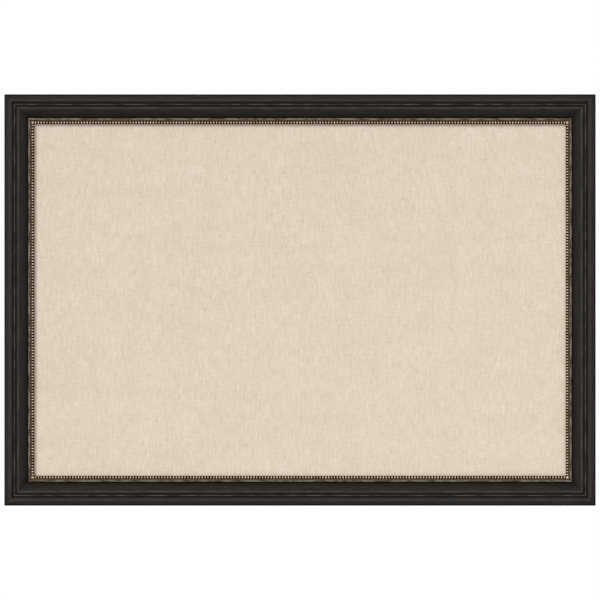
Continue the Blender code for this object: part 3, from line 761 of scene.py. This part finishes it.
def make_moulding(number, materials):
    """One rail: the softened section carried along its side and closed by a flat cut at each mitre."""
    length, distance = side_of(number)
    section = softened(moulding_section(), SECTION_STEP, ARRIS)
    points = swept_side(section, length)
    stations, count = points.shape[:2]
    faces = capped_quads(stations, count)
    walked = np.arange(count + 1) * SECTION_STEP
    pairs = np.stack([points[..., 0], np.tile(walked[:-1], (stations, 1))], axis=-1).reshape(-1, 2)
    # painted shade in the quirks, and in the seam at each mitre
    painted_quirk_shade = np.tile(quirk_depth(section), (stations, 1))
    painted_quirk_shade[[0, -1]] = SEAM_SHADE
    name = SIDES[number]
    rail = make_object(
        f"{name}_moulding", about_y(points + (0, 0, distance), number), faces, materials,
        face_material=np.concatenate([np.tile(section_finish(section), stations - 1), (BARE, BARE)]),
        floats={"rub": np.tile(crest_wear(section), stations), "painted_quirk_shade": painted_quirk_shade},
        maps={"along_and_across": [ring_map(points[..., 0], walked), pairs[faces[1]]],
              "OFBake": bake_map(points, section, faces[1], 1.0)}
    )
    return settle(rail, "board", "dark_bronze", f"{name}_rail")


def bead_shape():
    """One bead as points and faces: rings of a half ellipsoid from its rim to its crown, with points on its
    diagonals, closed by a fan of triangles at the crown and a flat face at the rim."""
    lift = np.linspace(0, np.pi / 2, BEAD_RINGS, endpoint=False)[:, None]
    turn = full_turn(BEAD_SIDES) + np.pi / BEAD_SIDES
    rings = np.stack([
        BEAD_HALF_LENGTH * np.cos(lift) * np.cos(turn),
        -BEAD_HEIGHT * np.sin(lift) * np.ones_like(turn),
        BEAD_RADIUS * np.cos(lift) * np.sin(turn),
    ], axis=-1).reshape(-1, 3)
    points = np.vstack([rings, [(0, -BEAD_HEIGHT, 0)]])
    quads = grid_quads(BEAD_RINGS, BEAD_SIDES, ring_columns=True)
    last = (BEAD_RINGS - 1) * BEAD_SIDES + np.arange(BEAD_SIDES)
    fan = np.column_stack([last, np.roll(last, -1), np.full(BEAD_SIDES, len(points) - 1)])
    rim = np.arange(BEAD_SIDES)[::-1][None, :]
    return points, fan, quads, rim


def bead_row(shape, length):
    """The bead's shape set down along a side at even places, the first and the last on the mitres. Those
    two are round, and what would pass the mitre is pressed flat onto it. Points by (bead, point)."""
    row = length - 2 * BEAD_CENTRE
    places = np.linspace(-0.5, 0.5, int(round(row / BEAD_PITCH)) + 1) * row
    centres = np.stack(np.broadcast_arrays(places, BEAD_SUNK - BEAD_BASE, -BEAD_CENTRE), axis=-1)
    stretch = np.ones((len(places), 1, 3))
    stretch[[0, -1], :, 0] = BEAD_RADIUS / BEAD_HALF_LENGTH
    beads = centres[:, None, :] + shape * stretch
    over = np.clip(abs(beads[..., 0]) - length / 2 - beads[..., 2], 0, None) / 2
    beads[..., 0] -= np.sign(beads[..., 0]) * over
    beads[..., 2] += over
    return beads


def bead_highlight_and_glaze(shape, count):
    """How bright each point of each bead is, 0 to 1: rubbed bronze on the crown with a painted highlight,
    fading low down, towards the next bead and at the inner and outer ends to a dark glaze with painted
    shade. The bead on a mitre has the painted highlight all over its crown."""
    beside, lift, across = abs(shape.T) / np.array([BEAD_HALF_LENGTH, BEAD_HEIGHT, BEAD_RADIUS])[:, None]
    ends = 1 - BEAD_HIGHLIGHT_LOST_ACROSS * eased(across, *BEAD_HIGHLIGHT_ACROSS)
    # painted highlight on the crown, painted shade low down and towards the neighbouring beads
    rubbed = np.tile(eased(lift, *BEAD_HIGHLIGHT_LIFT) * (1 - eased(beside, *BEAD_HIGHLIGHT_BESIDE)) * ends, (count, 1))
    rubbed[[0, -1]] = eased(lift, *CORNER_HIGHLIGHT_LIFT)
    return rubbed


def bead_cells(shape, groups, count):
    """Map pairs for the corners of every bead: its outline seen from the front, in a cell of its own, with
    its hidden rim shrunk into the cell's corner."""
    fan, quads, rim = groups
    rows = -(-count // CELL_COLUMNS)
    number = np.arange(count)
    cell = np.column_stack([number % CELL_COLUMNS, number // CELL_COLUMNS])[:, None, None, :]
    outline = 0.5 + CELL_FILL * shape[:, [0, 2]] / (BEAD_HALF_LENGTH, BEAD_RADIUS)
    spots = [outline[fan], outline[quads], CELL_RIM * outline[rim]]
    scale = np.array([1 / CELL_COLUMNS, (1 - STRIP_SHARE) / rows])
    return [(cell + spot) * scale + (0, STRIP_SHARE) for spot in spots]


def make_beading(number, material):
    """One bead strip: a thin base swept along the side, with a row of beads on it."""
    length, distance = side_of(number)
    outline = [(STRIP_EDGE, STRIP_FOOT), (STRIP_EDGE, BEAD_BASE), (MOULDING_WIDTH, BEAD_BASE),
               (MOULDING_WIDTH, STRIP_FOOT)]
    base = softened(np.array(outline), SECTION_STEP, ARRIS)
    strip = swept_side(base, length)
    stations, count = strip.shape[:2]
    shape, *groups = bead_shape()
    beads = bead_row(shape, length)
    first = stations * count + np.arange(len(beads))[:, None, None] * len(shape)
    faces = capped_quads(stations, count)
    faces += [(first + group).reshape(-1, group.shape[1]) for group in groups]

    # the strip shows between the beads in painted shade, save its rubbed outer edge
    outer = np.tile(STRIP_RUB * (1 - eased(base[:, 0] - STRIP_EDGE, *STRIP_RUB_FADE)), stations)
    crown = np.concatenate([outer, bead_highlight_and_glaze(shape, len(beads)).ravel()])
    maps = bake_map(strip, base, faces[1], STRIP_SHARE) + bead_cells(shape, groups, len(beads))
    points = np.vstack([strip.reshape(-1, 3), beads.reshape(-1, 3)]) + (0, 0, distance)
    name = SIDES[number]
    piece = make_object(
        f"{name}_beading", about_y(points, number), faces, [material],
        floats={"crown": crown}, maps={"OFBake": maps}
    )
    return settle(piece, "board", "bead_bronze", f"{name}_bead_strip")


# Panel

def make_linen(material):
    """The cloth: a grid over the panel that wavers by the mean of slow sine waves, given a thickness."""
    low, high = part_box("linen_cover")
    columns = int(round((high.x - low.x) / CLOTH_STEP)) + 1
    rows = int(round((high.z - low.z) / CLOTH_STEP)) + 1
    z, x = np.meshgrid(np.linspace(low.z, high.z, rows), np.linspace(low.x, high.x, columns), indexing="ij")
    waver = sum(np.sin(by_x * x + by_z * z + start) for by_x, by_z, start in CLOTH_WAVES) / len(CLOTH_WAVES)
    face = np.stack([x, low.y + CLOTH_WAVER * (1 + waver), z], axis=-1)
    linen = make_object("linen_face", face, [grid_quads(rows, columns)], [material])
    thickness = linen.modifiers.new("cloth_thickness", "SOLIDIFY")
    thickness.thickness = high.y - low.y - 2 * CLOTH_WAVER
    thickness.offset = -1
    settle(linen, "board", "linen", "linen_cover")
    return linen


# Hardware

def make_nail(node, material):
    """A V nail: its two legs as a flat outline, carried from inside the wood to just proud of its back."""
    low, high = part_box(node)
    right, top = low.x + high.x > 0, low.z + high.z > 0
    corner = np.array([high.x if right else low.x, high.z if top else low.z])
    inwards = np.array([-1 if right else 1, -1 if top else 1])
    legs = np.array([(0, 0), (NAIL_LEG, 0), (NAIL_LEG, NAIL_SHEET), (NAIL_SHEET, NAIL_SHEET),
                     (NAIL_SHEET, NAIL_LEG), (0, NAIL_LEG)])
    outline = corner + inwards * legs
    if right == top:
        outline = outline[::-1]
    points = np.stack([np.insert(outline, 1, level, axis=1) for level in (low.y, NAIL_PROUD)])
    faces = capped_quads(*points.shape[:2])
    nail = make_object(node.replace("v_nail", "corner_nail"), points, faces, [material])
    nail.data.shade_flat()
    return settle(nail, "board", "spring_steel", node)


def strap_line(foot):
    """The middle of the strap's sheet as (z, y) about the ring's axis, and its half width there: up the
    flat leg from its foot, round the loop, through the bend and down the upper leg. Both ends are drawn in
    by a quarter circle, along which their points are evenly spread."""
    upper = STRAP_SHEET + LEG_GAP - STRAP_LOOP
    bend_y = upper + STRAP_BEND
    bend_z = -np.sqrt((STRAP_LOOP + STRAP_BEND) ** 2 - bend_y ** 2)
    meet = np.arctan2(bend_y, bend_z)
    quarter = np.linspace(0, np.pi / 2, TAIL_STEPS)
    tail = foot + STRAP_CORNER * (1 - np.cos(quarter))
    tail_half = STRAP_HALF - STRAP_CORNER * (1 - np.sin(quarter))
    loop = STRAP_LOOP * circle(np.linspace(-np.pi / 2, meet, LOOP_STEPS))
    bend = STRAP_BEND * circle(np.linspace(meet - np.pi, -np.pi / 2, BEND_STEPS)[1:]) + (bend_z, bend_y)
    flat_leg = np.column_stack([tail, np.full(TAIL_STEPS, -STRAP_LOOP)])
    upper_leg = np.column_stack([tail[::-1], np.full(TAIL_STEPS, upper)])
    half = np.concatenate([tail_half, np.full(len(loop) + len(bend), STRAP_HALF), tail_half[::-1]])
    return np.vstack([flat_leg, loop, bend, upper_leg]), half


def make_strap(hand, joint, material):
    """The folded strap: a thin rectangle with rounded corners, carried along the strap's line."""
    node = f"{hand}_hanger_strap"
    axis = np.array(joint["pos_m"])
    line, half = strap_line(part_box(node)[0].z - axis[2])
    outward = -left_of(np.gradient(line, axis=0))
    round_x, round_y = circle(full_turn(STRAP_SIDES)).T
    across = np.sign(round_x) * (half[:, None] - STRAP_EDGE) + STRAP_EDGE * round_x
    through = np.sign(round_y) * (STRAP_SHEET / 2 - STRAP_EDGE) + STRAP_EDGE * round_y
    z, y = np.moveaxis(line[:, None, :] + outward[:, None, :] * through[:, None], -1, 0)
    faces = [group[:, ::-1] for group in capped_quads(*across.shape)]
    strap = make_object(f"{hand}_strap", np.stack([across, y, z], axis=-1) + axis, faces, [material])
    return settle(strap, "board", "nickel", node)


def ring_line():
    """The D ring's closed middle line as (x, z): a straight bar on the axis, two corners, two short sides
    and a half circle."""
    inset = RING_HALF - RING_CORNER
    places = np.linspace(-inset, inset, RING_BAR_STEPS)[1:-1]
    bar = np.column_stack([places, np.zeros_like(places)])
    bend = RING_CORNER * circle(np.linspace(-np.pi / 2, 0, RING_CORNER_STEPS)) + (inset, RING_CORNER)
    arch = RING_HALF * circle(np.linspace(0, np.pi, RING_BOW_STEPS)) + (0, RING_SIDE)
    return np.vstack([bar, bend, arch, (bend * (-1, 1))[::-1]])


def make_ring(hand, joint, material):
    """The D ring: a circle carried along its line, leant back on the rail about the joint's axis."""
    line = ring_line()
    outward = -left_of(ring_heading(line))
    out, y = WIRE_RADIUS * circle(full_turn(WIRE_SIDES)).T
    x, z = np.moveaxis(line[:, None, :] + outward[:, None, :] * out[:, None], -1, 0)
    axis = np.array(joint["pos_m"])
    lean = np.arcsin((axis[1] - WIRE_RADIUS - RING_CLEAR) / RING_REACH)
    leant = np.stack([x, y * np.cos(lean) - z * np.sin(lean), y * np.sin(lean) + z * np.cos(lean)], axis=-1)
    faces = grid_quads(*x.shape, ring_rows=True, ring_columns=True)
    ring = make_object(f"{hand}_ring_wire", leant + axis, [faces], [material])
    return settle(ring, f"{hand}_ring", "nickel", f"{hand}_d_ring")


def middle_of(low, high):
    """The middle of a box, on the frame's back."""
    return np.array([low.x + high.x, 0, low.z + high.z]) / 2


def turned(radii, heights, centre, sides):
    """A profile from the middle outwards, of radius and height along +Y, turned about the Y axis through
    centre. Points by (profile, side), each ring of the profile being one row."""
    x, z = np.moveaxis(radii[:, None, None] * circle(full_turn(sides)), -1, 0)
    return np.stack([x, np.broadcast_to(heights[:, None], x.shape), z], axis=-1) + centre


def rounded_rim(radius, top, rounding):
    """Radii and heights of the quarter circle that rounds a top into its wall, after its first point."""
    angle = np.linspace(np.pi / 2, 0, RIM_STEPS)[1:]
    return radius - rounding * (1 - np.cos(angle)), top - rounding * (1 - np.sin(angle))


def recess_depth(x, z):
    """The depth of a crossed recess at places about its middle: within either arm of the cross, down a
    steep wall to a floor that rises evenly outwards."""
    arm = np.minimum(
        np.maximum(abs(x) / RECESS_REACH, abs(z) / RECESS_HALF_WIDTH),
        np.maximum(abs(z) / RECESS_REACH, abs(x) / RECESS_HALF_WIDTH),
    )
    floor = np.clip(1 - np.hypot(x, z) / RECESS_RISE, 0, None)
    return RECESS_DEPTH * np.clip((1 - arm) * RECESS_STEEPNESS, 0, 1) * floor


def make_screw(hand, material):
    """The screw: a pan head turned about its axis, with a crossed recess pressed into its face, and a
    tapering shank below."""
    node = f"{hand}_hanger_screw"
    low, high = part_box(node)
    centre = middle_of(low, high)
    top = high.y - HEAD_DROP
    seat = top - SCREW_HEAD_HEIGHT
    face = SCREW_FACE * (SCREW_HEAD - SCREW_HEAD_ROUND)
    rim, rim_heights = rounded_rim(SCREW_HEAD, top, SCREW_HEAD_ROUND)
    radii = np.concatenate([face, rim, [SCREW_HEAD], SCREW_SHANK])
    below = (seat, seat, low.y + SCREW_POINT, low.y)
    heights = np.concatenate([np.full_like(face, top), rim_heights, below])
    points = turned(radii, heights, centre, SCREW_SIDES)
    x, _, z = np.moveaxis(points[:len(face)] - centre, -1, 0)
    points[:len(face), :, 1] -= recess_depth(x, z)
    faces = capped_quads(len(radii), SCREW_SIDES)
    screw = make_object(f"{hand}_pan_screw", points, faces, [material])
    return settle(screw, "board", "nickel", node)


def make_bumper(hand, material):
    """A rubber foot: a tapering wall, a rounded edge and a shallow dished face, turned about its axis."""
    node = f"{hand}_wall_bumper"
    low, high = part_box(node)
    base = (high.x - low.x) / 2
    top = base - BUMPER_TAPER
    sole = low.y - BUMPER_SUNK
    rim, rim_heights = rounded_rim(top, high.y, BUMPER_ROUND)
    radii = np.concatenate([BUMPER_FACE * (top - BUMPER_ROUND), rim, [base, BUMPER_SOLE]])
    dished = high.y - BUMPER_DISH * (1 - BUMPER_FACE ** 4)
    heights = np.concatenate([dished, rim_heights, [sole, sole]])
    points = turned(radii, heights, middle_of(low, high), BUMPER_SIDES)
    faces = capped_quads(len(radii), BUMPER_SIDES)
    bumper = make_object(f"{hand}_rubber_foot", points, faces, [material])
    return settle(bumper, "board", "rubber", node)


# Stage

def make_floor():
    """A pale floor below the board, out of the photograph's frame, that fades to the white round it."""
    side = np.linspace(-FLOOR_REACH, FLOOR_REACH, FLOOR_POINTS)
    y, x = np.meshgrid(side, side, indexing="ij")
    points = np.stack([x, y, np.full_like(x, FLOOR_LEVEL)], axis=-1)
    finish = Finish("pale_floor", Base_Color=FLOOR_GREY, Roughness=0.9, Specular_IOR_Level=0.1)
    distance = finish.put("ShaderNodeVectorMath", {0: finish.place()}, "Value", operation="LENGTH")
    share = finish.math("MULTIPLY", finish.spread(distance, FLOOR_FADE, FLOOR_REACH), finish.ray("Camera"))
    white = finish.put("ShaderNodeEmission", {"Color": WHITE, "Strength": 1.0})
    mixed = finish.put("ShaderNodeMixShader", {0: share, 1: finish.shader.outputs[0], 2: white})
    finish.tree.links.new(mixed, finish.tree.nodes["Material Output"].inputs["Surface"])
    floor = make_object("floor", points, [grid_quads(FLOOR_POINTS, FLOOR_POINTS)], [finish.material])


def make_world():
    """White behind the board and in what shines, and a softer even light on everything else."""
    world = bpy.data.worlds.new("white_room")
    bpy.context.scene.world = world
    nodes = Nodes(world, "Background", Color=WHITE)
    seen = nodes.math("MAXIMUM", nodes.ray("Camera"), nodes.ray("Glossy"))
    white = nodes.math("MAXIMUM", seen, nodes.ray("Transmission"))
    nodes.drive("Strength", nodes.spread(white, 0.0, 1.0, AMBIENT, 1.0))


def make_lamp(name, towards, strength, spread):
    """A wide, even light from far off in the given direction, spread over so many degrees of the sky."""
    light = bpy.data.lights.new(name, "SUN")
    light.energy = strength
    light.angle = np.radians(spread)
    lamp = bpy.data.objects.new(name, light)
    bpy.context.scene.collection.objects.link(lamp)
    lamp.location = towards
    lamp.rotation_euler = (-Vector(towards)).to_track_quat("-Z", "Y").to_euler()
    return lamp


def make_camera():
    """The photograph's view: straight on through a long lens, as far off as frames the width it frames."""
    camera = bpy.data.cameras.new("camera")
    camera.lens = LENS
    camera.sensor_width = SENSOR
    eye = bpy.data.objects.new("camera", camera)
    bpy.context.scene.collection.objects.link(eye)
    eye.location = (0, -FRAMED_WIDTH * LENS / SENSOR - OUTLINE_DEPTH, 0)
    eye.rotation_euler = (np.pi / 2, 0, 0)
    bpy.context.scene.camera = eye


def main():
    """Makes every piece, gives the solids that stay their finish, and sets the stage."""
    rail_finishes = [dark_bronze_finish(), side_black_finish(), aged_bronze_finish(), raw_wood_finish(),
                     edge_black_finish()]
    beads = bead_finish()
    for number in range(len(SIDES)):
        make_moulding(number, rail_finishes)
        make_beading(number, beads)
    make_linen(linen_finish())

    steel = metal_finish("spring_steel", STEEL, 0.42)
    nickel = metal_finish("nickel_plate", NICKEL, 0.26)
    rubber = rubber_finish()
    for node in frame["nodes"]:
        if "_v_nail_" in node:
            make_nail(node, steel)
        elif "_retaining_point_" in node:
            dress_node(node, steel)
    dress_node("cork_sheet", cork_finish())
    dress_node("hardboard_backer", hardboard_finish())
    joints = {joint["child"]: joint for joint in frame["joints"]}
    for hand in HANDS:
        joint = joints[f"{hand}_ring"]
        make_strap(hand, joint, nickel)
        make_ring(hand, joint, nickel)
        make_screw(hand, nickel)
        make_bumper(hand, rubber)

    make_floor()
    make_world()
    make_lamp("key", *KEY_LAMP).visible_glossy = False
    make_lamp("back", *BACK_LAMP)
    make_camera()
    bpy.context.scene.view_settings.view_transform = "Standard"


main()
